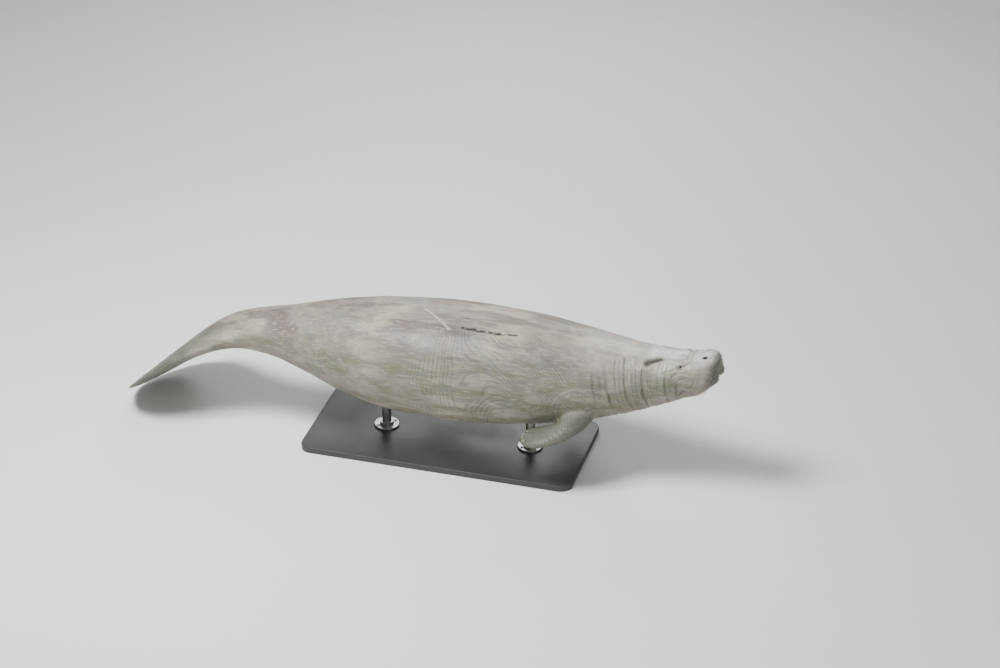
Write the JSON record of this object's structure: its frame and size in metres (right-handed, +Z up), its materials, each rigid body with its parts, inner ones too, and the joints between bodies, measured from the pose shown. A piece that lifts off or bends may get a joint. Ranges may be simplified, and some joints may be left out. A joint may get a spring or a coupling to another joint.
{
  "type": "manatee model",
  "caption": "Life-size manatee gliding with its head raised and its tail hanging, held over a flat base by two short rods.",
  "frame": {"origin": "middle of the underside of the display stand's base plate", "axes": "+X toward the animal's head, +Y toward its left side, +Z up"},
  "size_m": [2.9862, 0.7064, 0.7337],
  "materials": {
    "skin": "wet-looking wrinkled grey-taupe hide, mottled paler and darker, dull with a faint sheen",
    "nail": "horn-coloured nail, satin",
    "eye": "very dark brown, polished",
    "stand_base": "satin black paint",
    "stand_steel": "brushed"
  },
  "bodies": {
    "root": {"head": "skin", "lower_jaw": "skin", "neck": "skin", "chest": "skin", "belly": "skin", "tail_stock": "skin", "tail_paddle": "skin", "flipper_left": "skin", "flipper_right": "skin", "eye_left": "eye", "eye_right": "eye", "nail_left_1": "nail", "nail_left_2": "nail", "nail_left_3": "nail", "nail_left_4": "nail", "nail_right_1": "nail", "nail_right_2": "nail", "nail_right_3": "nail", "nail_right_4": "nail", "stand_base": "stand_base", "stand_flange_front": "stand_steel", "stand_flange_rear": "stand_steel", "stand_rod_front": "stand_steel", "stand_rod_rear": "stand_steel"}
  },
  "joints": []
}
